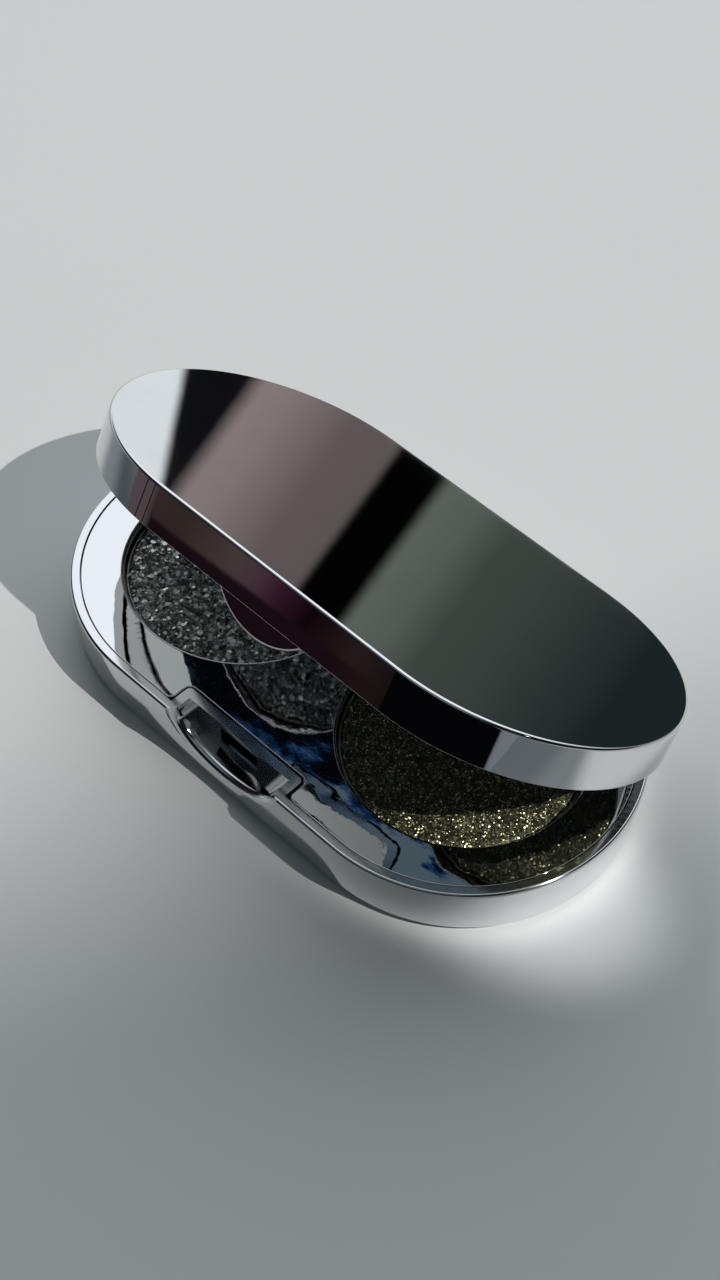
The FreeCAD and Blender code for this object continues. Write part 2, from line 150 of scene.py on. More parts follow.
def pill(name, inset, low, high):
    """An upright pill-shaped block, its sides lying inside the case's by the inset."""
    half_x, half_y = CASE_LENGTH / 2 - inset, CASE_WIDTH / 2 - inset
    piece = block(name, (-half_x, -half_y, low), (half_x, half_y, high))
    bevel(piece, half_y, CORNER_STEPS, upright)
    merge(piece)
    return piece


def hollow(piece, face, wall, depth):
    """Sinks the face at a level into the piece, leaving a wall round it."""
    pick(piece, "FACE", level(face))
    bpy.ops.mesh.inset(thickness=wall * MM, depth=0)
    bpy.ops.mesh.extrude_region_move(TRANSFORM_OT_translate={"value": (0, 0, depth * MM)})
    bpy.ops.object.mode_set(mode="OBJECT")


def drawn(name, rings, steps=RING_STEPS):
    """A disc drawn up through rings, each given as half width, half depth and height."""
    rest()
    wide, deep, height = rings[0]
    bpy.ops.mesh.primitive_circle_add(vertices=steps, radius=MM, fill_type="NGON",
                                      location=(0, 0, height * MM))
    piece = bpy.context.active_object
    piece.name = name
    piece.scale = (wide, deep, 1)
    settle(piece)
    pick_all(piece)
    for next_wide, next_deep, next_height in rings[1:]:
        rise = (0, 0, (next_height - height) * MM)
        bpy.ops.mesh.extrude_region_move(TRANSFORM_OT_translate={"value": rise})
        bpy.ops.transform.resize(value=(next_wide / wide, next_deep / deep, 1), center_override=(0, 0, 0))
        wide, deep, height = next_wide, next_deep, next_height
    bpy.ops.object.mode_set(mode="OBJECT")
    merge(piece)
    return piece


def round_wall(radius, low, high):
    """Rings of an upright round wall."""
    return [(radius, radius, low), (radius, radius, high)]


def flare(wide, deep, foot, face, radius):
    """Rings of a straight hole whose mouth opens in a round edge."""
    rings = [(wide, deep, foot), (wide, deep, face - radius)]
    for step in range(1, ROUNDED + 1):
        turn = math.pi / 2 * step / ROUNDED
        out = radius * (1 - math.cos(turn))
        rings.append((wide + out, deep + out, face - radius + radius * math.sin(turn)))
    return rings + [(wide + radius, deep + radius, face + OVER)]


def combine(piece, tool, operation):
    """Cuts a tool's shape out of a piece, or welds it on, and clears the tool away."""
    take(piece)
    change = piece.modifiers.new("shape", "BOOLEAN")
    change.operation = operation
    change.solver = "EXACT"
    change.object = tool
    bpy.ops.object.modifier_apply(modifier=change.name)
    bpy.data.objects.remove(tool, do_unlink=True)


def cut(piece, *tools):
    for tool in tools:
        combine(piece, tool, "DIFFERENCE")


def weld(piece, *tools):
    for tool in tools:
        combine(piece, tool, "UNION")


def move(piece, x, y, z):
    piece.location = Vector((x, y, z)) * MM
    return settle(piece)


def open_lid(piece):
    """Swings a piece of the closed lid up about the hinge."""
    hinge = Matrix.Translation(Vector((0, HINGE_Y, HINGE_Z)) * MM)
    piece.matrix_world = hinge @ Matrix.Rotation(-LID_ANGLE, 4, "X") @ hinge.inverted()
    return settle(piece)


def smooth(piece, angle=32):
    """Smooth shading that keeps flat faces flat and hard edges hard."""
    take(piece)
    bpy.ops.object.shade_smooth_by_angle(angle=math.radians(angle))
    even = piece.modifiers.new("even", "WEIGHTED_NORMAL")
    even.mode = "FACE_AREA"
    even.weight = 100
    even.keep_sharp = True
    bpy.ops.object.modifier_apply(modifier=even.name)


def fit(piece, body, node, material):
    """Sets a finished piece in the frame in place of its solid."""
    piece.data.materials.clear()
    piece.data.materials.append(material)
    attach(piece, body)
    if node:
        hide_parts(node)
    rest()


class Wire:
    """A value in a shader. Sums on it add Math nodes."""

    def __init__(self, shader, socket):
        self.shader = shader
        self.socket = socket

    def __add__(self, other):
        return self.shader.math("ADD", self, other)

    def __sub__(self, other):
        return self.shader.math("SUBTRACT", self, other)

    def __rsub__(self, other):
        return self.shader.math("SUBTRACT", other, self)

    def __mul__(self, other):
        return self.shader.math("MULTIPLY", self, other)

    def __truediv__(self, other):
        return self.shader.math("DIVIDE", self, other)

    def __pow__(self, other):
        return self.shader.math("POWER", self, other)

    __radd__ = __add__
    __rmul__ = __mul__

    def ramp(self, low, high):
        """A smooth step from 0 to 1 as the value goes from low to high."""
        return self.shader.node("ShaderNodeMapRange", {"interpolation_type": "SMOOTHSTEP"},
                                {"Value": self, "From Min": low, "From Max": high})


class Shader:
    """A node tree that is written as expressions."""

    def __init__(self, owner):
        owner.use_nodes = True
        self.tree = owner.node_tree
        self.tree.nodes.clear()

    def node(self, kind, settings=None, inputs=None, out=0):
        """Adds a node, sets it up, joins its inputs and gives one of its outputs."""
        made = self.tree.nodes.new(kind)
        for key, value in (settings or {}).items():
            if key == "stops":
                self.set_stops(made.color_ramp, value)
            else:
                setattr(made, key, value)
        for key, value in (inputs or {}).items():
            socket = self.find(made.inputs, key)
            if isinstance(value, Wire):
                self.tree.links.new(value.socket, socket)
            else:
                socket.default_value = value
        return Wire(self, self.find(made.outputs, out)) if made.outputs else None

    @staticmethod
    def find(sockets, key):
        usable = [socket for socket in sockets if socket.enabled]
        return usable[key] if isinstance(key, int) else next(x for x in usable if x.name == key)

    @staticmethod
    def set_stops(ramp, stops):
        while len(ramp.elements) < len(stops):
            ramp.elements.new(1.0)
        for element, (place, colour) in zip(ramp.elements, stops):
            element.position = place
            element.color = (*colour, 1.0)

    def math(self, operation, *values):
        return self.node("ShaderNodeMath", {"operation": operation}, dict(enumerate(values)))

    def mix(self, factor, first, second):
        return self.node("ShaderNodeMix", {"data_type": "RGBA"},
                         {"Factor": factor, "A": first, "B": second})

    def stops(self, factor, stops):
        return self.node("ShaderNodeValToRGB", {"stops": stops}, {"Fac": factor})

    def parts(self, vector, axes):
        """The wanted axes of a vector, one by one."""
        return [self.node("ShaderNodeSeparateXYZ", None, {"Vector": vector}, axis) for axis in axes]

    def spots(self, turn=(0, 0, 0), stretch=(1, 1, 1)):
        """Object coordinates, turned and stretched."""
        place = self.node("ShaderNodeTexCoord", out="Object")
        return self.node("ShaderNodeMapping", None, {"Vector": place, "Rotation": turn, "Scale": stretch})

    def noise(self, place, scale, detail=3.0):
        return self.node("ShaderNodeTexNoise", None, {"Vector": place, "Scale": scale, "Detail": detail})

    def cells(self, place, scale, out="Distance"):
        return self.node("ShaderNodeTexVoronoi", None, {"Vector": place, "Scale": scale}, out)

    def lottery(self, place, scale, out="Red"):
        """A number drawn for each cell."""
        drawn_colour = self.cells(place, scale, "Color")
        return self.node("ShaderNodeSeparateColor", None, {"Color": drawn_colour}, out)

    def bump(self, height, strength, distance):
        """A bumped normal, with the distance in millimetres."""
        return self.node("ShaderNodeBump", None,
                         {"Strength": strength, "Distance": distance * MM, "Height": height})

    def surface(self, **inputs):
        """The Principled surface of the material, with its sockets named as words."""
        named = {key.replace("_", " "): value for key, value in inputs.items()}
        made = self.node("ShaderNodeBsdfPrincipled", None, named)
        self.node("ShaderNodeOutputMaterial", None, {"Surface": made})


def colour(*values):
    return (*values, 1.0)


CHROME_TINT, DECK_TINT = (0.7, 0.71, 0.72), (0.7, 0.71, 0.725)
DUST_SCALE = 190.0


def polished_chrome(name, tint, haze, wave):
    """Mirror-bright plating with faint wiping haze, hairlines, a little dust and a slow ripple."""
    material = bpy.data.materials.new(name)
    shader = Shader(material)
    place = shader.spots()
    wiped = shader.noise(place, scale=90.0, detail=4.0).ramp(0.45, 0.75)
    lines = shader.spots(turn=(0, 0, 0.6), stretch=(60, 1400, 60))
    streak = shader.noise(lines, scale=1.0, detail=2.0).ramp(0.62, 0.8)
    grains = shader.cells(place, scale=DUST_SCALE)
    dust = grains.ramp(0.035, 0.02) * shader.lottery(place, scale=DUST_SCALE).ramp(0.8, 0.85)
    ripple = shader.noise(place, scale=140.0, detail=1.5)
    ripple = ripple + shader.noise(place, scale=620.0, detail=2.0) * 0.07
    clean = shader.mix(wiped * 0.5, colour(*tint), colour(*[0.93 * part for part in tint]))
    shader.surface(
        Base_Color=shader.mix(dust, clean, colour(0.7, 0.7, 0.68)),
        Metallic=1.0 - dust,
        Roughness=haze + wiped * (0.4 * haze) + streak * (0.4 * haze) + dust * 0.6,
        Normal=shader.bump(ripple, strength=1.0, distance=wave),
    )
    return material


def silvered_glass():
    """Mirror glass, with a breath of haze on its clear face."""
    material = bpy.data.materials.new("silvered_glass")
    shader = Shader(material)
    breath = shader.noise(shader.spots(), scale=70.0, detail=4.0).ramp(0.5, 0.8)
    shader.surface(
        Base_Color=shader.mix(breath, colour(0.77, 0.795, 0.785), colour(0.72, 0.745, 0.74)),
        Metallic=1.0,
        Roughness=0.012 + breath * 0.03,
        Coat_Weight=1.0,
        Coat_Roughness=0.01,
    )
    return material


def satin_pan():
    """Drawn sheet metal with fine rings from the press."""
    material = bpy.data.materials.new("satin_pan")
    shader = Shader(material)
    place = shader.spots()
    grain = shader.noise(shader.spots(stretch=(400, 400, 6000)), scale=1.0)
    shader.surface(
        Base_Color=shader.mix(grain, colour(0.16, 0.16, 0.155), colour(0.3, 0.3, 0.29)),
        Metallic=1.0,
        Roughness=0.24 + grain * 0.2,
        Normal=shader.bump(shader.noise(place, scale=900.0), strength=0.1, distance=0.02),
    )
    return material


def pressed_glitter(name, stops, grain, metal, rough, sparkle):
    """Pressed glitter: each grain has its own tone, shine and tilt."""
    material = bpy.data.materials.new(name)
    shader = Shader(material)
    place = shader.spots()
    tone = shader.lottery(place, grain)
    speck = shader.lottery(place, grain * 2.3, "Green")
    drift = shader.noise(place, scale=180.0)
    shader.surface(
        Base_Color=shader.stops(tone * 0.75 + drift * 0.25, stops),
        Metallic=metal * speck.ramp(0.2, 0.7),
        Roughness=rough + 0.3 * (1 - speck),
        Normal=shader.bump(tone + speck * 0.5, strength=sparkle, distance=0.2),
    )
    return material


def glitter_flakes(name, stops, rough):
    """Metallic flakes whose tone is stored flake by flake."""
    material = bpy.data.materials.new(name)
    shader = Shader(material)
    tone = shader.node("ShaderNodeAttribute", {"attribute_name": "flake_tone"}, None, "Fac")
    scuff = shader.noise(shader.spots(), scale=3000.0)
    shader.surface(
        Base_Color=shader.stops(tone, stops),
        Metallic=1.0,
        Roughness=rough + scuff * 0.2,
    )
    return material


def moulded_plastic():
    """Grey plastic with faint flow marks."""
    material = bpy.data.materials.new("moulded_plastic")
    shader = Shader(material)
    place = shader.spots()
    flow = shader.noise(place, scale=350.0)
    shader.surface(
        Base_Color=shader.mix(flow, colour(0.62, 0.63, 0.64), colour(0.7, 0.71, 0.72)),
        Roughness=0.28 + flow * 0.12,
        Normal=shader.bump(shader.noise(place, scale=2500.0), strength=0.08, distance=0.02),
    )
    return material


def drawn_steel():
    """Steel with the long lines of drawn wire."""
    material = bpy.data.materials.new("drawn_steel")
    shader = Shader(material)
    lines = shader.noise(shader.spots(stretch=(150, 7000, 7000)), scale=1.0)
    shader.surface(
        Base_Color=shader.mix(lines, colour(0.46, 0.46, 0.47), colour(0.64, 0.64, 0.64)),
        Metallic=1.0,
        Roughness=0.22 + lines * 0.18,
    )
    return material


def hidden_sheet(name, tint):
    """Glue or tape: a soft fibrous sheet."""
    material = bpy.data.materials.new(name)
    shader = Shader(material)
    fibre = shader.noise(shader.spots(turn=(0, 0, 0.4), stretch=(900, 2500, 900)), scale=1.0)
    shader.surface(
        Base_Color=shader.mix(fibre, colour(*[0.85 * part for part in tint]), colour(*tint)),
        Roughness=0.6 + fibre * 0.2,
        Normal=shader.bump(fibre, strength=0.2, distance=0.03),
    )
    return material


def make_base():
    """Tub with a rounded rim, a thumb recess and latch slot in front, and the hinge slot behind."""
    base = pill("base_chrome", 0, 0, BASE_HEIGHT)
    pick(base, "FACE", level(0))
    draft = (1 - 2 * FOOT_INSET / CASE_LENGTH, 1 - 2 * FOOT_INSET / CASE_WIDTH, 1)
    bpy.ops.transform.resize(value=draft, center_override=(0, 0, 0))
    bevel(base, FOOT_ROUND, BROAD, level(0))
    bevel(base, RIM_ROUND, BROAD, level(BASE_HEIGHT))

    cavity = pill("cavity", BASE_WALL, BASE_FLOOR, BASE_HEIGHT + OVER)
    thumb_block = block("thumb_block", (-THUMB_HALF - THUMB_WALL, -CASE_WIDTH, 0),
                        (THUMB_HALF + THUMB_WALL, THUMB_WALL - THUMB_BACK, 2 * BASE_HEIGHT))
    bevel(thumb_block, THUMB_CORNER, CORNER, upright)
    hinge_block = block("hinge_block", (-CHEEK_HALF, CHEEK_FRONT, 0),
                        (CHEEK_HALF, CASE_WIDTH, 2 * BASE_HEIGHT))
    cut(cavity, thumb_block, hinge_block)
    cut(base, cavity)

    front = CASE_WIDTH / 2 - FOOT_INSET / 2
    recess = drawn("recess", flare(THUMB_HALF, THUMB_DROP, THUMB_BACK, front, LIP_ROUND))
    recess.rotation_euler = Euler((math.pi / 2, 0, 0))
    move(recess, 0, 0, BASE_HEIGHT)
    slot = block("slot", (-SLOT_HALF, -THUMB_BACK - OVER, SLOT_LOW),
                 (SLOT_HALF, THUMB_WALL - THUMB_BACK + GROOVE, SLOT_HIGH))
    lug_slot = block("lug_slot", (-LUG_SLOT_HALF, LUG_SLOT_FRONT, LUG_SLOT_FLOOR),
                     (LUG_SLOT_HALF, CASE_WIDTH, 2 * BASE_HEIGHT))
    relief = block("relief", (-CASE_LENGTH, RELIEF_FRONT, RELIEF_FLOOR),
                   (CASE_LENGTH, CASE_WIDTH, 2 * BASE_HEIGHT))
    cut(base, recess, slot, lug_slot, relief)
    smooth(base)
    return base


def make_deck():
    """Bright plate with a rounded edge and a cup under each round well."""
    deck = pill("deck_chrome", DECK_INSET, DECK_UNDER, DECK_FACE)
    front_half = THUMB_HALF + THUMB_WALL + GROOVE
    front_notch = block("front_notch", (-front_half, -CASE_WIDTH, 0),
                        (front_half, THUMB_WALL - THUMB_BACK + GROOVE, 2 * BASE_HEIGHT))
    back_half = CHEEK_HALF + GROOVE
    back_notch = block("back_notch", (-back_half, CHEEK_FRONT - GROOVE, 0),
                       (back_half, CASE_WIDTH, 2 * BASE_HEIGHT))
    cut(deck, front_notch, back_notch)

    def notch_corner(spots):
        x, y = abs(spots[0].x), abs(spots[0].y)
        return upright(spots) and x < back_half + SLACK and y > THUMB_BACK - 2 * THUMB_WALL

    bevel(deck, DECK_CORNER, CORNER, notch_corner)
    bevel(deck, DECK_ROUND, ROUNDED, level(DECK_FACE))
    cup_radius = WELL_RADIUS + CUP_WALL
    for side in (LEFT, RIGHT):
        cup = drawn("cup", round_wall(cup_radius, BASE_FLOOR, DECK_UNDER + CUP_ROOT))
        weld(deck, move(cup, side * WELL_X, 0, 0))
    for side in (LEFT, RIGHT):
        well = drawn("well", flare(WELL_RADIUS, WELL_RADIUS, WELL_FLOOR, DECK_FACE, WELL_ROUND))
        cut(deck, move(well, side * WELL_X, 0, 0))
    smooth(deck)
    return deck


def make_pan(name, side):
    """Shallow drawn pan with a rolled rim."""
    pan = drawn(name, round_wall(PAN_RADIUS, PAN_FOOT, PAN_RIM))
    hollow(pan, PAN_RIM, PAN_WALL, PAN_FOOT + PAN_WALL - PAN_RIM)
    bevel(pan, PAN_ROLL, EASED, level(PAN_RIM))
    move(pan, side * WELL_X, 0, 0)
    smooth(pan)
    return pan


def make_cake(name, side, voxel, grain, depth):
    """Pressed cake whose top is broken into grains."""
    top_radius = CAKE_RADIUS - CAKE_EDGE
    wall = round_wall(CAKE_RADIUS, CAKE_FOOT, CAKE_TOP - CAKE_SHOULDER)
    cake = drawn(name, wall + [(top_radius, top_radius, CAKE_TOP - depth / 2)], CAKE_STEPS)
    move(cake, side * WELL_X, 0, 0)
    take(cake)
    mesh = cake.modifiers.new("mesh", "REMESH")
    mesh.mode = "VOXEL"
    mesh.voxel_size = voxel * MM
    bpy.ops.object.modifier_apply(modifier=mesh.name)
    top = cake.vertex_groups.new(name="top")
    broken = [vertex.index for vertex in cake.data.vertices if vertex.co.z > (CAKE_TOP - CAKE_BROKEN) * MM]
    top.add(broken, 1.0, "REPLACE")
    for kind, size, strength in (("VORONOI", grain, depth), ("CLOUDS", grain * 6, depth * 0.6)):
        texture = bpy.data.textures.new(f"{name}_{kind.lower()}", kind)
        texture.noise_scale = size * MM
        roll = cake.modifiers.new("roll", "DISPLACE")
        roll.texture = texture
        roll.texture_coords = "LOCAL"
        roll.direction = "Z"
        roll.mid_level = 0.5
        roll.strength = strength * MM
        roll.vertex_group = top.name
        bpy.ops.object.modifier_apply(modifier=roll.name)
    take(cake)
    bpy.ops.object.shade_smooth_by_angle(angle=math.radians(25))
    return cake


# A flake's thickness as a share of its half width, the line that all of them lean about, and a full turn
FLAKE_THICKNESS = 0.12
SLANT_AXIS = (0.3, 0.95, 0)
FULL_TURN = 6.3


def make_flakes(name, side, count, sizes, sink, tilt, clump, slant):
    """Thin six-sided flakes strewn over a cake and its rim, each a closed plate with a tone of its own.

    Sizes are half widths and sink is a depth below the cake's top, both as least and most. Clump is how far
    neighbours share a tone, tilt the spread of their lean and slant the lean of them all, in radians.
    """
    chance = random.Random(name)
    flake = drawn("flake", round_wall(1, 0, FLAKE_THICKNESS), FLAKE_STEPS)
    shape = [vertex.co / MM for vertex in flake.data.vertices]
    sides = [list(face.vertices) for face in flake.data.polygons]
    bpy.data.objects.remove(flake, do_unlink=True)
    least, most = sizes
    slope = Matrix.Rotation(slant, 3, Vector(SLANT_AXIS))
    spots, faces, tones = [], [], []
    for _ in range(count):
        reach = (PAN_RADIUS - FLAKE_MARGIN) * math.sqrt(chance.random())
        around = chance.uniform(0, 2 * math.pi)
        on_rim = reach > CAKE_RADIUS - FLAKE_RIM
        size = least if on_rim else least + (most - least) * chance.random() ** 2
        lean = Euler((chance.gauss(0, tilt), chance.gauss(0, tilt), chance.uniform(0, FULL_TURN))).to_matrix()
        height = PAN_RIM + FLAKE_LIFT if on_rim else CAKE_TOP - chance.uniform(*sink)
        middle = Vector((side * WELL_X + reach * math.cos(around), reach * math.sin(around), height))
        tone = min(max(chance.random() + clump * noise.noise(middle / FLAKE_CLUMP), 0.0), 1.0)
        start = len(spots)
        spots += [(middle + slope @ lean @ (corner * size)) * MM for corner in shape]
        faces += [[start + corner for corner in face] for face in sides]
        tones += [tone] * len(shape)
    mesh = bpy.data.meshes.new(name)
    mesh.from_pydata(spots, [], faces)
    mesh.attributes.new("flake_tone", "FLOAT", "POINT").data.foreach_set("value", tones)
    flakes = bpy.data.objects.new(name, mesh)
    bpy.context.scene.collection.objects.link(flakes)
    return flakes


def make_lid():
    """Flat lid with a bright edge, a thumb tab in front and the hinge lug behind."""
    lid = pill("lid_chrome", 0, LID_FOOT, LID_TOP)
    bevel(lid, LID_ROUND, ROUNDED, level(LID_TOP))
    bevel(lid, LID_LIP, CHAMFER, level(LID_FOOT))
    hollow(lid, LID_FOOT, LID_WALL - LID_LIP, LID_CEILING - LID_FOOT)

    front = CASE_WIDTH / 2
    radius = (TAB_HALF**2 + TAB_DROP**2) / (2 * TAB_DROP)
    tab = drawn("tab", round_wall(radius, front - LID_WALL + SLACK, front - TAB_SETBACK), TAB_STEPS)
    tab.rotation_euler = Euler((math.pi / 2, 0, 0))
    move(tab, 0, 0, LID_FOOT - TAB_DROP + radius)
    pick_all(tab)
    bpy.ops.mesh.bisect(plane_co=(0, 0, (LID_FOOT + TAB_ROOT) * MM), plane_no=(0, 0, 1),
                        use_fill=True, clear_outer=True)
    bpy.ops.object.mode_set(mode="OBJECT")

    def tab_edge(spots):
        in_front = all(abs(spot.y + front - TAB_SETBACK) < SLACK for spot in spots)
        return in_front and any(spot.z < LID_FOOT + TAB_ROOT - SLACK for spot in spots)

    def lug_edge(spots):
        return level(HINGE_Z - LUG_RADIUS)(spots) and spots[0].y == spots[1].y

    bevel(tab, TAB_ROUND, CORNER, tab_edge)
    lug = block("lug", (-LUG_HALF, HINGE_Y - LUG_RADIUS, HINGE_Z - LUG_RADIUS),
                (LUG_HALF, HINGE_Y + LUG_RADIUS - SLACK, LUG_ROOT))
    bevel(lug, LUG_RADIUS - SLACK, BROAD, lug_edge)
    weld(lid, tab, lug)
    smooth(open_lid(lid))
    return lid


def make_liner():
    """Bright frame that holds the mirror, with its edges eased and a gap for the hook."""
    liner = pill("lid_frame", LINER_INSET, LINER_FACE, LID_CEILING - SLACK)
    hollow(liner, LINER_FACE, LINER_FRAME, LINER_SEAT - LINER_FACE)
    bevel(liner, LINER_ROUND, EASED, level(LINER_FACE))
    gap_half = HOOK_HALF + HOOK_GAP
    cut(liner, block("gap", (-gap_half, -CASE_WIDTH, 0), (gap_half, HOOK_GAP - HOOK_BACK, 2 * LID_TOP)))
    smooth(open_lid(liner))
    return liner


def make_mirror():
    """Mirror plate with a ground edge."""
    glass = pill("lid_mirror", MIRROR_INSET, MIRROR_FACE, MIRROR_BACK)
    bevel(glass, MIRROR_EDGE, CHAMFER, level(MIRROR_FACE))
    smooth(open_lid(glass), angle=20)
    return glass


def make_hook():
    """Upright hook with an eased nib at its foot."""
    hook = block("catch_hook", (-HOOK_HALF, -HOOK_FRONT, HOOK_FOOT),
                 (HOOK_HALF, -HOOK_BACK, LID_CEILING - SLACK))
    nib = block("nib", (-HOOK_HALF, -HOOK_FRONT + NIB_SETBACK, HOOK_FOOT),
                (HOOK_HALF, -NIB_BACK, HOOK_FOOT + NIB_HEIGHT))
    bevel(nib, NIB_ROUND, EASED, lambda spots: all(spot.y > -HOOK_BACK for spot in spots))
    weld(hook, nib)
    smooth(open_lid(hook))
    return hook


# Metres: the middle and the size of the table top
TABLE_MIDDLE = (0, 0.16, 0)
TABLE_SIZE = (0.9, 0.55, 1)
# Ways over the table: away from its front left corner, to the front, to the right and to the back left
LEFT_WAY = (0.638, 0.771)
FRONT_WAY = (0.705, -0.709)
RIGHT_WAY = (0.789, 0.615)
BACK_WAY = (-0.866, 0.5)


def across(x, y, way):
    """How far a place on the table lies along a way."""
    return x * way[0] + y * way[1]


def make_table():
    """Plain pale table top, with painted shade that darkens its front and its left corner."""
    rest()
    bpy.ops.mesh.primitive_plane_add(size=1, location=TABLE_MIDDLE)
    table = bpy.context.active_object
    table.name = "table"
    table.scale = TABLE_SIZE
    settle(table)
    material = bpy.data.materials.new("table_top")
    shader = Shader(material)
    place = shader.spots()
    cloud = shader.noise(place, scale=9.0, detail=2.0)
    pale = shader.mix(cloud, colour(0.7, 0.725, 0.72), colour(0.73, 0.755, 0.75))
    x, y = shader.parts(place, "XY")
    # Painted shade: the colour darkens towards the front left corner and, half as much, towards the front,
    # standing in for dimmer light there
    corner = across(x, y, LEFT_WAY).ramp(-0.085, -0.135)
    front = across(x, y, FRONT_WAY).ramp(0.08, 0.105) * 0.5
    shader.surface(
        Base_Color=shader.mix(shader.math("MAXIMUM", corner, front), pale, colour(0.26, 0.28, 0.3)),
        Roughness=0.55,
        Normal=shader.bump(shader.noise(place, scale=1500.0), strength=0.05, distance=0.02),
    )
    table.data.materials.append(material)


# Tones at table height, by bearing in degrees from the hinge side towards the right: the whole room,
# then the cards that the lid's top mirrors and the ones that its front wall and tab mirror
ROOM = [
    (-180, (0.002, 0.002, 0.003)), (-159, (0.002, 0.002, 0.003)), (-130, (0.12, 0.14, 0.16)),
    (-110, (0.4, 0.43, 0.45)), (-60, (0.8, 0.84, 0.87)), (-36, (0.8, 0.84, 0.87)),
    (-12, (0.02, 0.03, 0.03)), (0, (0.3, 0.32, 0.33)), (30, (0.5, 0.53, 0.55)),
    (90, (0.5, 0.53, 0.55)), (116, (0.22, 0.245, 0.27)), (140.5, (0.19, 0.215, 0.24)),
    (142, (0.002, 0.002, 0.003)), (180, (0.002, 0.002, 0.003)),
]
TOP_CARDS = [
    (-36, (0.96, 1.01, 1.04)), (-35.2, (0.96, 1.01, 1.04)), (-34.8, (0.006, 0.007, 0.009)),
    (-31.3, (0.006, 0.006, 0.008)), (-30.8, (0.32, 0.26, 0.255)), (-30, (0.29, 0.235, 0.23)),
    (-28.3, (0.155, 0.125, 0.124)), (-26.95, (0.145, 0.12, 0.118)), (-26.7, (0.001, 0.001, 0.001)),
    (-25.45, (0.001, 0.001, 0.001)), (-25.1, (0.14, 0.164, 0.14)), (-24, (0.118, 0.138, 0.12)),
    (-23, (0.066, 0.08, 0.071)), (-21.5, (0.053, 0.07, 0.061)),
    (-18, (0.015, 0.023, 0.025)), (-15, (0.013, 0.022, 0.024)), (-12, (0.024, 0.036, 0.036)),
]
TAB_CARDS = [
    (-160, (0.002, 0.002, 0.002)), (-158, (0.002, 0.002, 0.002)), (-155.6, (0.024, 0.014, 0.014)),
    (-153.9, (0.006, 0.002, 0.004)), (-152.9, (0.036, 0.01, 0.024)), (-152.2, (0.072, 0.036, 0.05)),
    (-151.4, (0.078, 0.052, 0.053)), (-149.6, (0.04, 0.026, 0.023)), (-147.5, (0.045, 0.032, 0.032)),
    (-144.2, (0.09, 0.066, 0.074)), (-143.9, (0.01, 0.008, 0.009)), (-143.4, (0.01, 0.008, 0.009)),
    (-143.1, (0.1, 0.075, 0.083)), (-138.5, (0.105, 0.078, 0.088)), (-138.2, (0.01, 0.008, 0.009)),
    (-137.7, (0.01, 0.008, 0.009)), (-137.4, (0.105, 0.078, 0.088)), (-130, (0.105, 0.078, 0.088)),
    (-126, (0.15, 0.17, 0.19)),
]
# Tones of the screen high over the front, from the front to the back
SCREEN = [
    (0.0, (0.15, 0.21, 0.25)), (0.62, (0.15, 0.21, 0.25)), (0.7, (0.01, 0.06, 0.19)),
    (0.82, (0.002, 0.003, 0.005)), (1.0, (0.002, 0.003, 0.005)),
]
SKY_WAY = (-0.354, 0.612, 0.707)
SKY_TONE = colour(1.15, 1.2, 1.25)
ZENITH_TONE = colour(0.15, 0.16, 0.17)
DARK_TONE = colour(0.008, 0.01, 0.012)
NADIR_TONE = colour(0.45, 0.47, 0.48)
BRIGHT_TONE = colour(0.92, 0.965, 0.995)
TAB_TONE = colour(0.012, 0.005, 0.008)


def make_room():
    """Sky that is pale on the left of the hinge side, over a room whose cards the chrome mirrors."""
    world = bpy.data.worlds.new("studio")
    bpy.context.scene.world = world
    shader = Shader(world)
    way = shader.node("ShaderNodeTexCoord", out="Generated")
    east, north, up = shader.parts(way, "XYZ")
    bearing = shader.math("ARCTAN2", east, north) * math.degrees(1)
    height = shader.math("ARCSINE", up) * math.degrees(1)

    def ring(tones):
        low, high = tones[0][0], tones[-1][0]
        stops = [((angle - low) / (high - low), tone) for angle, tone in tones]
        return shader.stops((bearing - low) / (high - low), stops)

    cards = ring(ROOM)
    for tones in (TOP_CARDS, TAB_CARDS):
        low, high = tones[0][0], tones[-1][0]
        here = shader.math("COMPARE", bearing, (low + high) / 2, (high - low) / 2)
        cards = shader.mix(here, cards, ring(tones))
    # The lid's tab mirrors a dark patch just below the cards, and its top a bright slanting card
    below = height.ramp(-4.1, -4.35) * bearing.ramp(-157, -155) * bearing.ramp(-147, -149)
    cards = shader.mix(below, cards, TAB_TONE)
    slanting = (bearing - height * 0.45).ramp(-32.75, -33.15) * bearing.ramp(-70, -40)
    cards = shader.mix(slanting, cards, BRIGHT_TONE)
    # Higher up, a dark belt, the screen in front, a grey zenith and the pale sky
    screen = shader.stops(north.ramp(-0.5, -0.42), SCREEN)
    dim = shader.mix(height.ramp(38, 48), DARK_TONE, screen)
    dim = shader.mix(height.ramp(55, 68) * north.ramp(-0.42, -0.28), dim, ZENITH_TONE)
    facing = shader.node("ShaderNodeVectorMath", {"operation": "DOT_PRODUCT"}, {0: way, 1: SKY_WAY}, "Value")
    sky = shader.mix(facing.ramp(0.66, 0.93), dim, SKY_TONE)
    tone = shader.mix(height.ramp(6, 16), cards, sky)
    tone = shader.mix(height.ramp(-25, -45), tone, NADIR_TONE)
    back = shader.node("ShaderNodeBackground", None, {"Color": tone, "Strength": 1.0})
    shader.node("ShaderNodeOutputWorld", None, {"Surface": back})


# The way to the sun, and how far up it the lamps and the flag are, in metres
SUN_WAY = Vector((0.6117, 0.1156, 0.7826))
LAMP_REACH, FLAG_REACH, FLAG_SIZE = 0.4, 0.45, 0.4
RIGHT_END = (0.034, -0.005, 0)
FLAG_FOOT = (0.02, -0.09, 0)


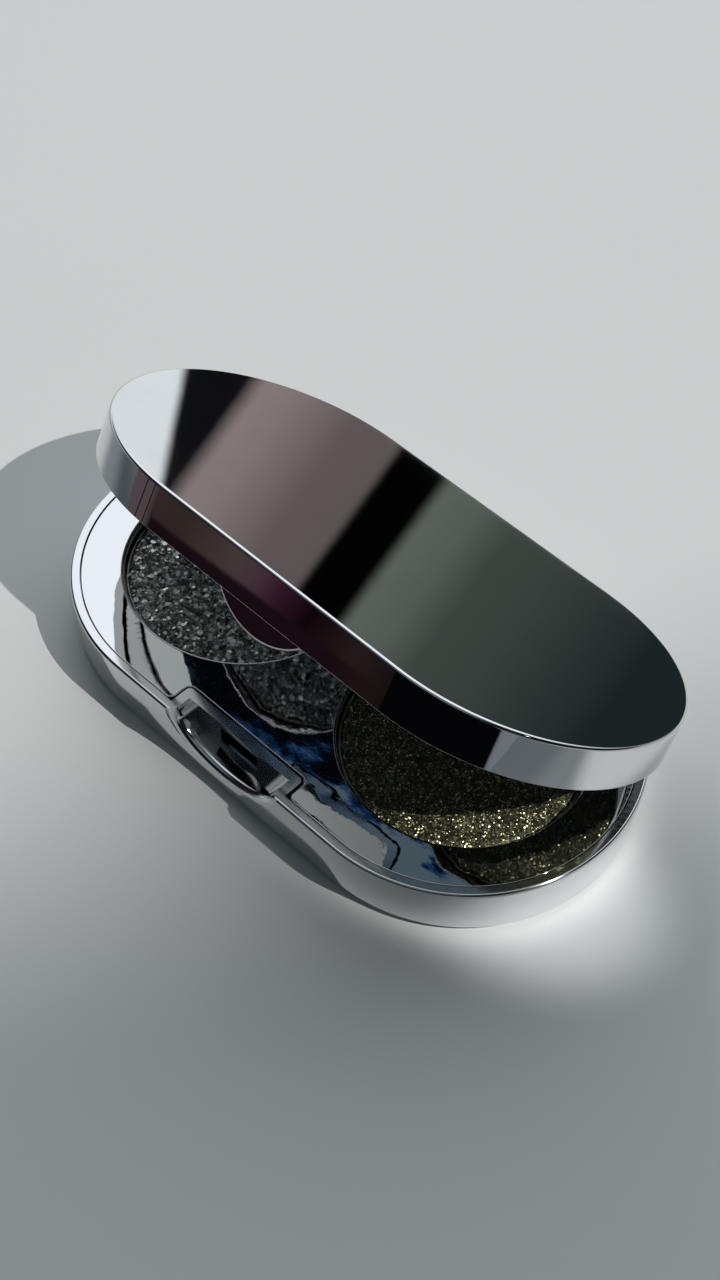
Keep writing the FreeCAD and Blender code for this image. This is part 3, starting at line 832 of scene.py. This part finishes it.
def make_lights():
    """The sun, and a soft spot that lifts the right end."""
    sun = bpy.data.lights.new("sun", "SUN")
    sun.energy = 1.8
    sun.angle = math.radians(0.55)
    sun.color = (1.0, 0.97, 0.93)
    lift = bpy.data.lights.new("lift", "SPOT")
    lift.energy = 3.8
    lift.spot_size = math.radians(4.5)
    lift.spot_blend = 0.9
    lift.shadow_soft_size = 0.003
    for lamp, aim in ((sun, (0, 0, 0)), (lift, RIGHT_END)):
        light = bpy.data.objects.new(lamp.name, lamp)
        light.location = Vector(aim) + LAMP_REACH * SUN_WAY
        light.rotation_euler = SUN_WAY.to_track_quat("Z", "Y").to_euler()
        bpy.context.scene.collection.objects.link(light)


def make_flag():
    """Graded card up towards the sun that shades the front of the table, but not the compact."""
    rest()
    bpy.ops.mesh.primitive_plane_add(size=FLAG_SIZE, location=Vector(FLAG_FOOT) + FLAG_REACH * SUN_WAY,
                                     rotation=SUN_WAY.to_track_quat("Z", "Y").to_euler())
    flag = bpy.context.active_object
    flag.name = "flag"
    settle(flag)
    material = bpy.data.materials.new("flag_cloth")
    shader = Shader(material)
    # Where on the table the sunlight through each point of the flag would fall, and how far from the case
    x, y, z = shader.parts(shader.spots(), "XYZ")
    x = x - z * (SUN_WAY.x / SUN_WAY.z)
    y = y - z * (SUN_WAY.y / SUN_WAY.z)
    past_end = shader.math("MAXIMUM", shader.math("ABSOLUTE", x) - (CASE_LENGTH - CASE_WIDTH) / 2 * MM, 0.0)
    reach = (past_end * past_end + y * y) ** 0.5 - CASE_WIDTH / 2 * MM
    # Shade deepens to the front right, but spares the case's right half and the table past its right end
    beside = reach.ramp(-0.002, 0.003)
    right = across(x, y, BACK_WAY).ramp(0.014, -0.044) * shader.math("MAXIMUM", beside, x.ramp(0.02, 0.005))
    right = right * (1 - across(x, y, RIGHT_WAY).ramp(0.0455, 0.0515) * y.ramp(-0.014, -0.001))
    left = across(x, y, LEFT_WAY).ramp(-0.052, -0.078)
    # The flag's two ends are sheer
    shade = shader.math("MAXIMUM", right, left) * x.ramp(-0.21, -0.12) * x.ramp(0.24, 0.14)
    shader.surface(Base_Color=colour(0.01, 0.01, 0.01), Roughness=1.0, Alpha=shade)
    flag.data.materials.append(material)


def make_camera():
    """Hand-held close view from the front right."""
    lens = bpy.data.cameras.new("camera")
    lens.lens = 58.65
    lens.sensor_width = 36.0
    lens.clip_start = 0.01
    camera = bpy.data.objects.new("camera", lens)
    place = Vector((104.45, -115.186, 205.707)) * MM
    aim = Vector((1.563, -0.365, 12.0)) * MM
    roll = Matrix.Rotation(math.radians(2.82), 4, "Z")
    camera.matrix_world = (Matrix.Translation(place)
                           @ (aim - place).to_track_quat("-Z", "Y").to_matrix().to_4x4() @ roll)
    bpy.context.scene.collection.objects.link(camera)
    bpy.context.scene.camera = camera


make_camera()
make_lights()
make_flag()
make_room()
make_table()

# Haze is a roughness, and wave the height of the ripple in millimetres
case_chrome = polished_chrome("case_chrome", CHROME_TINT, haze=0.018, wave=0.002)
base_chrome = polished_chrome("base_chrome", CHROME_TINT, haze=0.08, wave=0.004)
deck_chrome = polished_chrome("deck_chrome", DECK_TINT, haze=0.02, wave=0.06)
liner_chrome = polished_chrome("liner_chrome", CHROME_TINT, haze=0.02, wave=0.004)
pan_metal = satin_pan()
charcoal_cake = pressed_glitter(
    "charcoal_glitter",
    [(0.0, (0.045, 0.048, 0.044)), (0.45, (0.2, 0.21, 0.19)), (0.7, (0.45, 0.46, 0.42)),
     (1.0, (0.85, 0.86, 0.8))],
    grain=1900.0, metal=0.8, rough=0.25, sparkle=0.6)
charcoal_flake = glitter_flakes(
    "charcoal_flake",
    [(0.0, (0.22, 0.23, 0.21)), (0.5, (0.68, 0.69, 0.63)), (1.0, (0.96, 0.97, 0.92))],
    rough=0.2)
gold_cake = pressed_glitter(
    "gold_glitter",
    [(0.0, (0.004, 0.004, 0.0015)), (0.4, (0.018, 0.019, 0.008)), (0.7, (0.045, 0.045, 0.022)),
     (1.0, (0.24, 0.23, 0.13))],
    grain=3200.0, metal=0.3, rough=0.3, sparkle=0.3)
gold_flake = glitter_flakes(
    "gold_flake",
    [(0.0, (0.07, 0.07, 0.03)), (0.5, (0.27, 0.265, 0.135)), (1.0, (0.85, 0.8, 0.5))],
    rough=0.28)

fit(make_base(), "base", "base_shell", base_chrome)
fit(make_deck(), "base", "deck_tray", deck_chrome)
fit(make_pan("left_pan_cup", LEFT), "base", "left_pan", pan_metal)
fit(make_pan("right_pan_cup", RIGHT), "base", "right_pan", pan_metal)
fit(make_cake("charcoal_cake", LEFT, voxel=0.2, grain=0.7, depth=0.45),
    "base", "left_powder", charcoal_cake)
fit(make_cake("gold_cake", RIGHT, voxel=0.22, grain=0.3, depth=0.1),
    "base", "right_powder", gold_cake)
fit(make_flakes("charcoal_flakes", LEFT, count=5200, sizes=(0.1, 0.42), sink=(-0.03, 0.3),
                tilt=0.5, clump=0.45, slant=0.0),
    "base", None, charcoal_flake)
fit(make_flakes("gold_flakes", RIGHT, count=9800, sizes=(0.05, 0.13), sink=(0.0, 0.1),
                tilt=0.26, clump=0.2, slant=0.54),
    "base", None, gold_flake)
fit(make_lid(), "lid", "lid_shell", case_chrome)
fit(make_liner(), "lid", "lid_liner", liner_chrome)
fit(make_mirror(), "lid", "mirror", silvered_glass())
fit(make_hook(), "lid", "latch_hook", moulded_plastic())

steel = drawn_steel()
glue = hidden_sheet("pan_glue", (0.75, 0.73, 0.66))
tape = hidden_sheet("mirror_tape", (0.9, 0.9, 0.88))
for node, material in (("hinge_pin_left", steel), ("hinge_pin_right", steel), ("left_pan_glue", glue),
                       ("right_pan_glue", glue), ("mirror_tape", tape)):
    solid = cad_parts[node]
    solid.data.materials.clear()
    solid.data.materials.append(material)

bpy.context.scene.view_settings.view_transform = "Standard"
